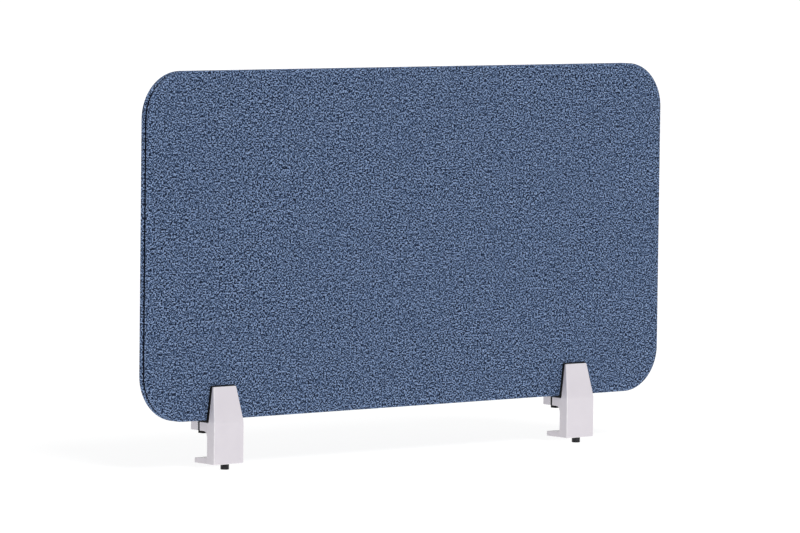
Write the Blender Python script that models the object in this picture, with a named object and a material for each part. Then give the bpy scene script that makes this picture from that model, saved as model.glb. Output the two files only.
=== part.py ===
"""Desk privacy panel: an upholstered screen held by two clamps on the edge of a desk top.

Frame: metres, +Z up, front of the panel towards -Y. The origin is on the desk top, under the
left clamp's rubber foot, level with the clamp's middle and the middle of the panel's thickness.
"""
import math

import bmesh
import bpy
from mathutils import Matrix, Vector

MM = 0.001
GAP = 0.3 * MM            # between pieces that touch
FIT = 0.1 * MM            # radial play of a round piece in its hole

# Panel, with its lower edge above the desk top
PANEL_WIDTH = 800.0 * MM
PANEL_HEIGHT = 400.0 * MM
PANEL_THICKNESS = 18.0 * MM
PANEL_CORNER = 54.0 * MM
PANEL_BOTTOM = 15.5 * MM
PANEL_CENTRE_X = 291.5 * MM
CORNER_STEPS = 10
SHOULDER = 3.0 * MM       # rounding of the covers' face edges
SHOULDER_STEPS = 3
COVER = 1.2 * MM          # cloth and its backing
HALF_SEAM = 0.9 * MM      # half the groove between the two covers
HALF_STRIP = 0.6 * MM
STRIP_INSET = 1.0 * MM
STRIP_WIDTH = 2.0 * MM
HALF_CORE = 2.7 * MM

# Clamps
CLAMP_SPACING = 550.0 * MM
BODY_HALF_WIDTH = 22.0 * MM
BODY_FRONT = -23.0 * MM
BODY_BOTTOM = -35.0 * MM
WALL = 4.0 * MM           # side walls of the hollow column
FRONT_WALL = 2.0 * MM
CREASE_Z = 13.0 * MM      # where the jaw's front begins to lean back, level with the column's top
JAW_TOP = 53.9 * MM
JAW_TOP_HALF_WIDTH = 16.8 * MM
JAW_TOP_THICKNESS = 3.3 * MM
EDGE = 1.2 * MM           # rounding of the castings' edges
PAD = 2.0 * MM            # rubber against the panel
PAD_PROUD = 1.2 * MM      # how far the front pad shows round its jaw

# Bridge under the panel
BRIDGE_BOTTOM = 2.8 * MM
BRIDGE_TOP = CREASE_Z
BRIDGE_BACK = 5.1 * MM
BRIDGE_HALF_WIDTH = 21.0 * MM
FILLET = 5.5 * MM         # curve from the bridge's underside down to the column
FILLET_TOE = 1.1 * MM
FILLET_STEPS = 5
FOOT_FRONT = -1.0 * MM
FOOT_THICKNESS = 2.5 * MM
BUFFER = 2.1 * MM

# Rear jaw
REAR_FRONT = 7.8 * MM
REAR_BACK = 20.5 * MM
REAR_BLOCK_TOP = 13.6 * MM
REAR_BLOCK_HALF_WIDTH = 21.5 * MM
REAR_PLATE_HALF_WIDTH = 18.0 * MM
REAR_PLATE_BACK = 18.4 * MM
REAR_PLATE_CREASE = 16.0 * MM
REAR_PLATE_TOP_HALF_WIDTH = 14.0 * MM

# Lower jaw
CARRIAGE_TOP = -14.0 * MM
JAW_REACH = 15.0 * MM
JAW_ROOT_TOP = -27.4 * MM
JAW_TIP_TOP = -28.9 * MM
JAW_HALF_WIDTH = 20.0 * MM

# Screws and pins: shank diameter, length, head diameter, head height, socket width, socket depth
LOWER_SCREW = (6.0 * MM, 45.0 * MM, 10.0 * MM, 6.0 * MM, 5.0 * MM, 3.5 * MM)
REAR_SCREW = (5.0 * MM, 20.0 * MM, 8.5 * MM, 5.0 * MM, 4.0 * MM, 2.5 * MM)
BRIDGE_SCREW = (4.0 * MM, 16.0 * MM, 7.0 * MM, 4.0 * MM, 3.0 * MM, 2.0 * MM)
PIN_DIAMETER = 4.0 * MM
PIN_LENGTH = 22.0 * MM
LOWER_SCREW_Y = -15.6 * MM
LOWER_SCREW_SEAT = BODY_BOTTOM - GAP
LOWER_JAW_TRAVEL = 15.0 * MM
CROSS_Z = 8.0 * MM        # height of the rear screw and the guide pins
REAR_SCREW_SEAT = 15.5 * MM
PIN_X = 13.5 * MM
PIN_BACK = 17.5 * MM
BRIDGE_SCREW_X = 12.5 * MM
BRIDGE_SCREW_Y = -16.0 * MM
BRIDGE_SCREW_SEAT = 7.1 * MM
INSERT_DIAMETER = 7.6 * MM
INSERT_LENGTH = 7.8 * MM
ROUND_STEPS = 16

BODY_BACK = -PANEL_THICKNESS / 2 - GAP
JAW_BACK = BODY_BACK - PAD - GAP
CHANNEL_TOP = BRIDGE_TOP + GAP
CHANNEL_HALF_WIDTH = BODY_HALF_WIDTH - WALL
CHANNEL_FRONT = BODY_FRONT + FRONT_WALL


# ---------------------------------------------------------------- shapes

def box(low, high):
    """Closed box between two corners."""
    shape = bmesh.new()
    bmesh.ops.create_cube(shape, size=1.0)
    size = Vector(high) - Vector(low)
    centre = (Vector(high) + Vector(low)) / 2
    bmesh.ops.transform(shape, matrix=Matrix.Translation(centre) @ Matrix.Diagonal((*size, 1.0)),
                        verts=shape.verts)
    return shape


def prism(outline_yz, half_width):
    """Side outline, as (y, z) points, drawn out along X to both sides of the middle."""
    shape = bmesh.new()
    corners = [shape.verts.new((-half_width, y, z)) for y, z in outline_yz]
    side = shape.faces.new(corners)
    drawn = bmesh.ops.extrude_face_region(shape, geom=[side])["geom"]
    moved = [item for item in drawn if isinstance(item, bmesh.types.BMVert)]
    bmesh.ops.translate(shape, vec=(2 * half_width, 0.0, 0.0), verts=moved)
    bmesh.ops.recalc_face_normals(shape, faces=shape.faces)
    return shape


def rod(radius, start, end, steps=ROUND_STEPS):
    """Closed cylinder from one point to another."""
    start = Vector(start)
    end = Vector(end)
    along = end - start
    shape = bmesh.new()
    bmesh.ops.create_cone(shape, cap_ends=True, segments=steps, radius1=radius, radius2=radius,
                          depth=along.length)
    turn = Vector((0.0, 0.0, 1.0)).rotation_difference(along).to_matrix().to_4x4()
    bmesh.ops.transform(shape, matrix=Matrix.Translation((start + end) / 2) @ turn,
                        verts=shape.verts)
    return shape


def narrow_above(shape, z, top_z, top_share):
    """Split the shape at height z and narrow it along X in a straight line up to top_z."""
    everything = list(shape.verts) + list(shape.edges) + list(shape.faces)
    on_plane = 0.01 * MM
    bmesh.ops.bisect_plane(shape, geom=everything, dist=on_plane, plane_co=(0.0, 0.0, z),
                           plane_no=(0.0, 0.0, 1.0))
    for vert in shape.verts:
        if vert.co.z > z + on_plane:
            rise = (vert.co.z - z) / (top_z - z)
            vert.co.x *= 1.0 + rise * (top_share - 1.0)
    return shape


def rounded_outline(inset):
    """Panel outline in X and Z about its centre, drawn in by inset."""
    half_x = PANEL_WIDTH / 2 - PANEL_CORNER
    half_z = PANEL_HEIGHT / 2 - PANEL_CORNER
    radius = PANEL_CORNER - inset
    points = []
    for quarter, (sign_x, sign_z) in enumerate(((1, 1), (-1, 1), (-1, -1), (1, -1))):
        for step in range(CORNER_STEPS + 1):
            angle = math.radians(90.0 * (quarter + step / CORNER_STEPS))
            points.append((sign_x * half_x + radius * math.cos(angle),
                           sign_z * half_z + radius * math.sin(angle)))
    return points


def loops_shape(profile, ring=False):
    """Skin through copies of the panel outline, one for each (inset, y) of the profile.

    A ring closes the last loop onto the first; otherwise both end loops are filled.
    """
    shape = bmesh.new()
    loops = []
    for inset, y in profile:
        loops.append([shape.verts.new((x, y, z)) for x, z in rounded_outline(inset)])
    pairs = list(zip(loops, loops[1:]))
    if ring:
        pairs.append((loops[-1], loops[0]))
    for first, second in pairs:
        for index in range(len(first)):
            after = (index + 1) % len(first)
            shape.faces.new((first[index], first[after], second[after], second[index]))
    if not ring:
        shape.faces.new(loops[0])
        shape.faces.new(loops[-1])
    bmesh.ops.recalc_face_normals(shape, faces=shape.faces)
    return shape


def shoulder(radius, side):
    """(inset, y) points of a rounded face edge, from the panel's rim to its face."""
    centre_y = PANEL_THICKNESS / 2 - SHOULDER
    points = []
    for step in range(SHOULDER_STEPS + 1):
        angle = math.radians(90.0 * step / SHOULDER_STEPS)
        points.append((SHOULDER - radius * math.cos(angle),
                       side * (centre_y + radius * math.sin(angle))))
    return points


# ---------------------------------------------------------------- meshes and objects

def finished_mesh(name, shape, joins=(), cuts=(), edge=0.0, edge_steps=2, smooth=False):
    """Round the shape's edges, join other shapes to it, cut the rest away, and give its mesh."""
    helpers = []

    def helper(part_name, part):
        mesh = bpy.data.meshes.new(part_name)
        part.to_mesh(mesh)
        part.free()
        thing = bpy.data.objects.new(part_name, mesh)
        bpy.context.scene.collection.objects.link(thing)
        helpers.append(thing)
        return thing

    def round_edges(thing):
        if edge:
            bevel = thing.modifiers.new("edges", "BEVEL")
            bevel.width = edge
            bevel.segments = edge_steps
            bevel.limit_method = "ANGLE"
            bevel.angle_limit = math.radians(30.0)

    base = helper(name, shape)
    round_edges(base)
    for operation, parts in (("UNION", joins), ("DIFFERENCE", cuts)):
        for number, part in enumerate(parts):
            tool = helper(f"{name}_{operation.lower()}_{number}", part)
            tool.hide_render = True
            tool.display_type = "WIRE"
            if operation == "UNION":
                round_edges(tool)
            step = base.modifiers.new(operation.lower(), "BOOLEAN")
            step.operation = operation
            step.solver = "EXACT"
            step.object = tool
    graph = bpy.context.evaluated_depsgraph_get()
    mesh = bpy.data.meshes.new_from_object(base.evaluated_get(graph))
    mesh.name = name
    for thing in helpers:
        spare = thing.data
        bpy.data.objects.remove(thing)
        bpy.data.meshes.remove(spare)
    if smooth:
        mesh.shade_smooth()
        mesh.set_sharp_from_angle(angle=math.radians(35.0))
    return mesh


def material(name, colour, roughness, metallic=0.0):
    made = bpy.data.materials.new(name)
    made.use_nodes = True
    shader = made.node_tree.nodes["Principled BSDF"]
    shader.inputs["Base Color"].default_value = (*colour, 1.0)
    shader.inputs["Roughness"].default_value = roughness
    shader.inputs["Metallic"].default_value = metallic
    return made


def holder(name, location, parent=None):
    """Empty that carries the pieces of one body."""
    empty = bpy.data.objects.new(name, None)
    empty.location = location
    empty.parent = parent
    bpy.context.scene.collection.objects.link(empty)
    return empty


def place(name, mesh, finish, parent, location=(0.0, 0.0, 0.0), turn_x=0.0):
    if not mesh.materials:
        mesh.materials.append(finish)
    piece = bpy.data.objects.new(name, mesh)
    piece.parent = parent
    piece.location = location
    piece.rotation_euler = (turn_x, 0.0, 0.0)
    bpy.context.scene.collection.objects.link(piece)
    return piece


# ---------------------------------------------------------------- panel pieces

def cover_mesh(name, side):
    """Cloth tray over one face and half of the rim; side is -1 in front and 1 behind."""
    outer = [(0.0, side * HALF_SEAM)] + shoulder(SHOULDER, side)
    inner = [(COVER, side * HALF_SEAM)] + shoulder(SHOULDER - COVER, side)
    return finished_mesh(name, loops_shape(inner[::-1] + outer), smooth=True)


def foam_mesh(name, side):
    back = (COVER + GAP, side * (HALF_CORE + GAP))
    profile = [back] + shoulder(SHOULDER - COVER - GAP, side)
    return finished_mesh(name, loops_shape(profile), smooth=True)


def core_mesh(name):
    inset = STRIP_INSET + STRIP_WIDTH + GAP
    return finished_mesh(name, loops_shape([(inset, -HALF_CORE), (inset, HALF_CORE)]))


def seam_mesh(name):
    outer = STRIP_INSET
    inner = STRIP_INSET + STRIP_WIDTH
    profile = [(outer, -HALF_STRIP), (outer, HALF_STRIP), (inner, HALF_STRIP), (inner, -HALF_STRIP)]
    return finished_mesh(name, loops_shape(profile, ring=True))


# ---------------------------------------------------------------- clamp pieces

def front_face_y(z):
    """Front of the jaw at a height."""
    top_front = JAW_BACK - JAW_TOP_THICKNESS
    rise = max(0.0, (z - CREASE_Z) / (JAW_TOP - CREASE_Z))
    return BODY_FRONT + rise * (top_front - BODY_FRONT)


def clamp_body_mesh():
    """Front jaw above, hollow column below, open at its back and bottom."""
    outline = [(BODY_FRONT, BODY_BOTTOM), (BODY_FRONT, CREASE_Z),
               (front_face_y(JAW_TOP), JAW_TOP), (JAW_BACK, JAW_TOP),
               (JAW_BACK, BRIDGE_TOP), (BODY_BACK, BRIDGE_TOP), (BODY_BACK, BODY_BOTTOM)]
    shape = narrow_above(prism(outline, BODY_HALF_WIDTH), CREASE_Z, JAW_TOP,
                         JAW_TOP_HALF_WIDTH / BODY_HALF_WIDTH)
    past = 2.0 * MM
    channel = box((-CHANNEL_HALF_WIDTH, CHANNEL_FRONT, BODY_BOTTOM - past),
                  (CHANNEL_HALF_WIDTH, BODY_BACK + past, CHANNEL_TOP))
    screw_tip = LOWER_SCREW_SEAT + LOWER_SCREW[1] + LOWER_JAW_TRAVEL
    cuts = [channel, rod(LOWER_SCREW[0] / 2 + 2 * FIT, (0.0, LOWER_SCREW_Y, CHANNEL_TOP - past),
                         (0.0, LOWER_SCREW_Y, screw_tip + GAP))]
    screw_end = BRIDGE_SCREW_SEAT + BRIDGE_SCREW[1]
    for side in (-1, 1):
        cuts.append(rod(BRIDGE_SCREW[0] / 2 + FIT,
                        (side * BRIDGE_SCREW_X, BRIDGE_SCREW_Y, CHANNEL_TOP - past),
                        (side * BRIDGE_SCREW_X, BRIDGE_SCREW_Y, screw_end + GAP)))
    return finished_mesh("clamp_body", shape, cuts=cuts, edge=EDGE)


def front_pad_mesh():
    """Rubber sheet behind the front jaw, a little larger than the jaw all round."""
    back = BODY_BACK
    bottom = BRIDGE_TOP + GAP
    top = JAW_TOP + PAD_PROUD
    half_width = BODY_HALF_WIDTH + PAD_PROUD
    outline = [(back - PAD, bottom), (back, bottom), (back, top), (back - PAD, top)]
    shape = narrow_above(prism(outline, half_width), bottom + GAP, top,
                         (JAW_TOP_HALF_WIDTH + PAD_PROUD) / half_width)
    return finished_mesh("front_pad", shape, edge=0.4 * MM)


def bridge_mesh():
    """Block under the panel, with a tenon that fills the back of the column and a fillet below."""
    inner_half_width = CHANNEL_HALF_WIDTH - GAP
    tenon = box((-inner_half_width, CHANNEL_FRONT + GAP, BRIDGE_BOTTOM + FIT),
                (inner_half_width, BODY_BACK + 2 * MM, BRIDGE_TOP - FIT))
    front = BODY_BACK + GAP
    outline = [(BRIDGE_BACK, BRIDGE_BOTTOM), (BRIDGE_BACK, BRIDGE_TOP), (front, BRIDGE_TOP),
               (front, BRIDGE_BOTTOM - FILLET)]
    for step in range(FILLET_STEPS + 1):
        angle = math.radians(180.0 - 90.0 * step / FILLET_STEPS)
        outline.append((front + FILLET_TOE + FILLET * (1.0 + math.cos(angle)),
                        BRIDGE_BOTTOM - FILLET * (1.0 - math.sin(angle))))
    block = prism(outline, BRIDGE_HALF_WIDTH)
    below = BRIDGE_BOTTOM - 2 * MM
    above = BRIDGE_TOP + 2 * MM
    behind = BRIDGE_BACK + 2 * MM
    insert_top = BRIDGE_BOTTOM + INSERT_LENGTH + 2 * GAP
    cuts = [rod(INSERT_DIAMETER / 2 + FIT, (0.0, LOWER_SCREW_Y, below),
                (0.0, LOWER_SCREW_Y, insert_top)),
            rod(LOWER_SCREW[0] / 2 + 2 * FIT, (0.0, LOWER_SCREW_Y, insert_top - MM),
                (0.0, LOWER_SCREW_Y, above)),
            rod(REAR_SCREW[0] / 2 + FIT, (0.0, behind, CROSS_Z),
                (0.0, REAR_SCREW_SEAT - REAR_SCREW[1] - 2 * MM, CROSS_Z))]
    for side in (-1, 1):
        x = side * BRIDGE_SCREW_X
        cuts.append(rod(BRIDGE_SCREW[0] / 2 + FIT, (x, BRIDGE_SCREW_Y, below),
                        (x, BRIDGE_SCREW_Y, above)))
        cuts.append(rod(BRIDGE_SCREW[2] / 2 + 2 * FIT, (x, BRIDGE_SCREW_Y, below),
                        (x, BRIDGE_SCREW_Y, BRIDGE_SCREW_SEAT + GAP)))
        cuts.append(rod(PIN_DIAMETER / 2 + FIT, (side * PIN_X, behind, CROSS_Z),
                        (side * PIN_X, PIN_BACK - PIN_LENGTH - 2 * MM, CROSS_Z)))
    return finished_mesh("bridge", block, joins=[tenon], cuts=cuts, edge=0.5 * MM)


def insert_mesh():
    """Brass sleeve whose thread takes the lower jaw's screw."""
    shape = rod(INSERT_DIAMETER / 2, (0.0, 0.0, 0.0), (0.0, 0.0, INSERT_LENGTH))
    hole = rod(LOWER_SCREW[0] / 2 + FIT, (0.0, 0.0, -MM), (0.0, 0.0, INSERT_LENGTH + MM))
    return finished_mesh("threaded_insert", shape, cuts=[hole], smooth=True)


def rest_pad_mesh():
    """Rubber strip on the bridge, under the panel's lower edge."""
    low = (-BRIDGE_HALF_WIDTH, BODY_BACK + GAP, BRIDGE_TOP + GAP)
    high = (BRIDGE_HALF_WIDTH, REAR_FRONT - GAP, PANEL_BOTTOM - GAP)
    return finished_mesh("rest_pad", box(low, high), edge=0.4 * MM)


def cross_holes(front, back):
    """Holes along Y for the rear screw and its two guide pins."""
    holes = [rod(REAR_SCREW[0] / 2 + FIT, (0.0, front, CROSS_Z), (0.0, back, CROSS_Z))]
    for side in (-1, 1):
        x = side * PIN_X
        holes.append(rod(PIN_DIAMETER / 2 + FIT, (x, front, CROSS_Z), (x, back, CROSS_Z)))
    return holes


def desk_foot_mesh():
    """Rubber strip with an L section: a buffer behind the bridge and a foot below it."""
    front = BRIDGE_BACK + GAP
    back = front + BUFFER
    outline = [(FOOT_FRONT, 0.0), (back, 0.0), (back, BRIDGE_TOP), (front, BRIDGE_TOP),
               (front, FOOT_THICKNESS), (FOOT_FRONT, FOOT_THICKNESS)]
    cuts = cross_holes(front - MM, back + MM)
    return finished_mesh("desk_foot", prism(outline, BRIDGE_HALF_WIDTH), cuts=cuts,
                         edge=0.3 * MM, edge_steps=1)


def rear_jaw_mesh():
    """Block behind the bridge with a plate that rises behind the panel."""
    block = box((-REAR_BLOCK_HALF_WIDTH, REAR_FRONT, BRIDGE_BOTTOM + FIT),
                (REAR_BLOCK_HALF_WIDTH, REAR_BACK, REAR_BLOCK_TOP))
    plate_front = -JAW_BACK
    outline = [(plate_front, CROSS_Z), (REAR_PLATE_BACK, CROSS_Z),
               (REAR_PLATE_BACK, REAR_PLATE_CREASE),
               (plate_front + JAW_TOP_THICKNESS, JAW_TOP), (plate_front, JAW_TOP)]
    plate = narrow_above(prism(outline, REAR_PLATE_HALF_WIDTH), REAR_PLATE_CREASE, JAW_TOP,
                         REAR_PLATE_TOP_HALF_WIDTH / REAR_PLATE_HALF_WIDTH)
    cuts = [rod(REAR_SCREW[0] / 2 + FIT, (0.0, REAR_FRONT - MM, CROSS_Z),
                (0.0, REAR_BACK - MM, CROSS_Z)),
            rod(REAR_SCREW[2] / 2 + 2 * FIT, (0.0, REAR_SCREW_SEAT - GAP, CROSS_Z),
                (0.0, REAR_BACK + MM, CROSS_Z))]
    for side in (-1, 1):
        x = side * PIN_X
        cuts.append(rod(PIN_DIAMETER / 2 + FIT, (x, REAR_FRONT - MM, CROSS_Z),
                        (x, PIN_BACK + GAP, CROSS_Z)))
    return finished_mesh("rear_jaw", block, joins=[plate], cuts=cuts, edge=0.8 * MM)


def rear_pad_mesh():
    """Rubber sheet between the rear jaw's plate and the panel."""
    front = -BODY_BACK
    bottom = PANEL_BOTTOM + GAP
    outline = [(front, bottom), (front + PAD, bottom), (front + PAD, JAW_TOP), (front, JAW_TOP)]
    shape = narrow_above(prism(outline, REAR_PLATE_HALF_WIDTH), bottom + GAP, JAW_TOP,
                         REAR_PLATE_TOP_HALF_WIDTH / REAR_PLATE_HALF_WIDTH)
    return finished_mesh("rear_pad", shape, edge=0.4 * MM)


def lower_jaw_mesh():
    """Carriage that slides in the column, with a tapered plate under the desk top."""
    half_width = CHANNEL_HALF_WIDTH - GAP
    carriage = box((-half_width, CHANNEL_FRONT + GAP, BODY_BOTTOM),
                   (half_width, BODY_BACK - GAP, CARRIAGE_TOP))
    neck = box((-half_width, BODY_BACK - 4 * MM, BODY_BOTTOM + FIT),
               (half_width, BODY_BACK + 4 * MM, JAW_ROOT_TOP - 2 * MM))
    root = BODY_BACK + GAP
    outline = [(root, BODY_BOTTOM), (JAW_REACH, BODY_BOTTOM), (JAW_REACH, JAW_TIP_TOP),
               (root, JAW_ROOT_TOP)]
    plate = prism(outline, JAW_HALF_WIDTH)
    hole = rod(LOWER_SCREW[0] / 2 + 2 * FIT, (0.0, LOWER_SCREW_Y, BODY_BOTTOM - MM),
               (0.0, LOWER_SCREW_Y, CARRIAGE_TOP + MM))
    return finished_mesh("lower_jaw", carriage, joins=[neck, plate], cuts=[hole], edge=0.8 * MM)


def cap_screw_mesh(name, screw):
    """Hex socket cap screw: shank up from the seat at the origin, head and socket below it."""
    shank_d, length, head_d, head_h, socket, depth = screw
    head = rod(head_d / 2, (0.0, 0.0, -head_h), (0.0, 0.0, 0.0))
    shank = rod(shank_d / 2, (0.0, 0.0, -head_h / 2), (0.0, 0.0, length))
    corner_radius = socket / math.sqrt(3.0)
    hexagon = rod(corner_radius, (0.0, 0.0, -head_h - MM), (0.0, 0.0, depth - head_h), steps=6)
    return finished_mesh(name, head, joins=[shank], cuts=[hexagon], edge=0.5 * MM, edge_steps=1,
                         smooth=True)


def pin_mesh():
    shape = rod(PIN_DIAMETER / 2, (0.0, 0.0, 0.0), (0.0, 0.0, PIN_LENGTH))
    return finished_mesh("guide_pin", shape, edge=0.4 * MM, edge_steps=1, smooth=True)


# ---------------------------------------------------------------- assembly

def build_panel(finishes):
    centre = (PANEL_CENTRE_X, 0.0, PANEL_BOTTOM + PANEL_HEIGHT / 2)
    panel = holder("panel_axis", centre)
    pieces = (("panel_core_board", core_mesh("panel_core_board"), "board"),
              ("panel_front_foam", foam_mesh("panel_front_foam", -1), "foam"),
              ("panel_rear_foam", foam_mesh("panel_rear_foam", 1), "foam"),
              ("panel_front_cover", cover_mesh("panel_front_cover", -1), "cloth"),
              ("panel_rear_cover", cover_mesh("panel_rear_cover", 1), "cloth"),
              ("panel_seam_strip", seam_mesh("panel_seam_strip"), "seam"))
    for name, mesh, finish in pieces:
        place(name, mesh, finishes[finish], panel)


def clamp_meshes():
    return {
        "clamp_body": clamp_body_mesh(),
        "front_pad": front_pad_mesh(),
        "bridge": bridge_mesh(),
        "threaded_insert": insert_mesh(),
        "rest_pad": rest_pad_mesh(),
        "desk_foot": desk_foot_mesh(),
        "rear_jaw": rear_jaw_mesh(),
        "rear_pad": rear_pad_mesh(),
        "lower_jaw": lower_jaw_mesh(),
        "guide_pin": pin_mesh(),
        "rear_screw": cap_screw_mesh("rear_screw", REAR_SCREW),
        "lower_screw": cap_screw_mesh("lower_screw", LOWER_SCREW),
        "bridge_screw": cap_screw_mesh("bridge_screw", BRIDGE_SCREW),
    }


def build_clamp(prefix, x, meshes, finishes):
    """One clamp, its pieces named with the prefix, its middle at x along the panel."""
    towards_front = math.radians(90.0)
    clamp = holder(f"{prefix}_clamp_axis", (x, 0.0, 0.0))
    rear = holder(f"{prefix}_rear_jaw_axis", (0.0, 0.0, CROSS_Z), clamp)
    lower = holder(f"{prefix}_lower_jaw_axis", (0.0, LOWER_SCREW_Y, LOWER_SCREW_SEAT), clamp)

    for name, finish in (("clamp_body", "paint"), ("front_pad", "rubber"), ("bridge", "paint"),
                         ("rest_pad", "rubber"), ("desk_foot", "rubber")):
        place(f"{prefix}_{name}", meshes[name], finishes[finish], clamp)
    place(f"{prefix}_threaded_insert", meshes["threaded_insert"], finishes["brass"], clamp,
          (0.0, LOWER_SCREW_Y, BRIDGE_BOTTOM + GAP))
    for number, side in ((1, -1), (2, 1)):
        place(f"{prefix}_bridge_screw_{number}", meshes["bridge_screw"], finishes["steel"], clamp,
              (side * BRIDGE_SCREW_X, BRIDGE_SCREW_Y, BRIDGE_SCREW_SEAT))
        place(f"{prefix}_guide_pin_{number}", meshes["guide_pin"], finishes["steel"], rear,
              (side * PIN_X, PIN_BACK, 0.0), towards_front)

    for name, finish in (("rear_jaw", "paint"), ("rear_pad", "rubber")):
        place(f"{prefix}_{name}", meshes[name], finishes[finish], rear, (0.0, 0.0, -CROSS_Z))
    place(f"{prefix}_rear_screw", meshes["rear_screw"], finishes["black_steel"], rear,
          (0.0, REAR_SCREW_SEAT, 0.0), towards_front)
    place(f"{prefix}_lower_jaw", meshes["lower_jaw"], finishes["paint"], lower,
          (0.0, -LOWER_SCREW_Y, -LOWER_SCREW_SEAT))
    place(f"{prefix}_lower_screw", meshes["lower_screw"], finishes["black_steel"], lower)


def main():
    for thing in list(bpy.data.objects):
        bpy.data.objects.remove(thing)
    finishes = {
        "cloth": material("blue_melange_cloth", (0.085, 0.125, 0.205), 0.95),
        "seam": material("navy_seam", (0.01, 0.018, 0.04), 0.8),
        "board": material("core_board", (0.45, 0.32, 0.2), 0.8),
        "foam": material("grey_foam", (0.35, 0.35, 0.36), 0.95),
        "paint": material("white_paint", (0.76, 0.74, 0.76), 0.35),
        "rubber": material("black_rubber", (0.012, 0.012, 0.013), 0.7),
        "brass": material("brass", (0.7, 0.5, 0.2), 0.3, 1.0),
        "steel": material("steel", (0.55, 0.56, 0.58), 0.3, 1.0),
        "black_steel": material("black_steel", (0.03, 0.03, 0.032), 0.35, 1.0),
    }
    build_panel(finishes)
    meshes = clamp_meshes()
    build_clamp("left", 0.0, meshes, finishes)
    build_clamp("right", CLAMP_SPACING, meshes, finishes)


main()
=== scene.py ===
"""Looks of the desk privacy panel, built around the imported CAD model.

Every piece is modelled in metres in the CAD's own frame: the desk top is at Z = 0, the panel's
middle plane at Y = 0, and the left clamp's middle at X = 0.
"""
import math

import bmesh
import bpy
from mathutils import Matrix, Vector


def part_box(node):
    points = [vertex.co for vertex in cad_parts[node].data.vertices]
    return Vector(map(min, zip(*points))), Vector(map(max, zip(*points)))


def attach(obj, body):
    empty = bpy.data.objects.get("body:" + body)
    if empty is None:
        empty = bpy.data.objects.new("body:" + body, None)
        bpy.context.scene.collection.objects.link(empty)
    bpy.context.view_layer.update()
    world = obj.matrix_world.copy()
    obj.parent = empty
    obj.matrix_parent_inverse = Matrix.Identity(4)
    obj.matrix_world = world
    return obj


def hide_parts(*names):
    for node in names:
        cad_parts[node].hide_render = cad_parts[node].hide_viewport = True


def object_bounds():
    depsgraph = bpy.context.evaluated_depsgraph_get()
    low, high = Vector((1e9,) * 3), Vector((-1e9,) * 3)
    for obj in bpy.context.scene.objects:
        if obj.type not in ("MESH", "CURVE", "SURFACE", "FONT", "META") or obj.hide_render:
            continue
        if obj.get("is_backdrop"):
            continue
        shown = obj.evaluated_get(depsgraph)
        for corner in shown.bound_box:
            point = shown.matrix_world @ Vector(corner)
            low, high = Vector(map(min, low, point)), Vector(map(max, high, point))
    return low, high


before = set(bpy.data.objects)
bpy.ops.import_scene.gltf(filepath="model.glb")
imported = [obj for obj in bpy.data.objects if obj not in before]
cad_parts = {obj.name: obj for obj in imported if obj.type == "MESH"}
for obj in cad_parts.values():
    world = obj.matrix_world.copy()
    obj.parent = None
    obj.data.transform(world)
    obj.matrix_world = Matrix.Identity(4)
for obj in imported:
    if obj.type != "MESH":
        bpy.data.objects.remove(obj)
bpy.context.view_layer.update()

MM = 0.001
CLAMPS = ("left", "right")

# Camera: direction and distance from the panel's middle
LENS = 258.82
SENSOR = 36.0
YAW = math.radians(41.30)
PITCH = math.radians(3.95)
ROLL = math.radians(0.68)
AIM_RIGHT = 10.98 * MM
AIM_DOWN = -35.29 * MM
DISTANCE = 6.7775

# Light: a soft sun before the panel, a white sky that darkens upwards, and a pale floor
SUN_ENERGY = 1.4
SUN_SOFTNESS = math.radians(26.0)
SUN_AZIMUTH = math.radians(-5.0)
SUN_HEIGHT = math.radians(48.0)
SUN_DISTANCE = 3.0
HORIZON = (0.03, 0.12)    # the sky darkens between these heights, as the direction's z
OVERHEAD = 0.50           # brightness of the sky above; it is 1 round the horizon
FLOOR_HALF_SIZE = 70.0
FLOOR_GLOW = 0.82
FLOOR_DROP = 0.02 * MM

# Panel
CORNER = 54.0 * MM
SHOULDER = 3.0 * MM
CLOTH = 0.8 * MM
LIP = 0.8 * MM            # rounding of the cloth where it turns into the groove
TUCK = 3.2 * MM           # how far the cloth runs into the groove
HALF_GROOVE = 1.55 * MM
HALF_BAND = 1.5 * MM
BAND_RISE = 0.5 * MM      # further out than the CAD strip, so the near-black band covers the groove's walls as painted shade
BAND_DEPTH = 2.0 * MM
BAND_ROUNDING = 0.35 * MM
BAND_RIB = 0.12 * MM
CROWN = 0.22 * MM         # how far the face's middle stands proud of its edge
CROWN_RISE = 45.0 * MM    # distance from the edge at which it does
FOAM_SHOULDER = 1.4 * MM
FOAM_EASE = 0.3 * MM
CORNER_STEPS = 16         # even, as each face's mesh starts from the corners' middles
SHOULDER_STEPS = 6
LIP_STEPS = 4
FACE_STEP = 8.0 * MM
WARP_PITCH = 1.1 * MM
WEFT_PITCH = 1.55 * MM

# Clamps
JAW_TOP_HALF_WIDTH = 16.8 * MM
JAW_TOP_THICKNESS = 3.3 * MM
REAR_PLATE_HALF_WIDTH = 18.0 * MM
REAR_PLATE_TOP_HALF_WIDTH = 14.0 * MM
REAR_PLATE_BACK = 18.4 * MM
REAR_PLATE_CREASE = 16.0 * MM
REAR_BLOCK_TOP = 13.6 * MM
JAW_ROOT_TOP = -27.4 * MM  # the lower jaw's top slopes down from here to its tip
JAW_TIP_TOP = -28.9 * MM
LOWER_TRAVEL = 15.0 * MM
PAD_PROUD = 0.6 * MM      # the front pad shows this much at each side of the jaw
WALL = 4.0 * MM
FRONT_WALL = 2.0 * MM
GAP = 0.3 * MM            # the CAD's gap between faces that touch
TOOL_GAP = 0.1 * MM       # keeps faces of joined and cutting shapes off each other's planes
TOOL_PAST = 2.0 * MM      # how far cutting shapes run past the faces they open
EDGE = 1.2 * MM
EDGE_BEND = 4.0           # edges that bend by fewer degrees aren't rounded
CUT_EDGE = 0.25 * MM
CUT_BEND = 40.0
# marks the rounded edges that the paint makes paler: partly wear, partly painted highlight
EDGE_MARK_BEND = math.radians(15.0)
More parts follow.
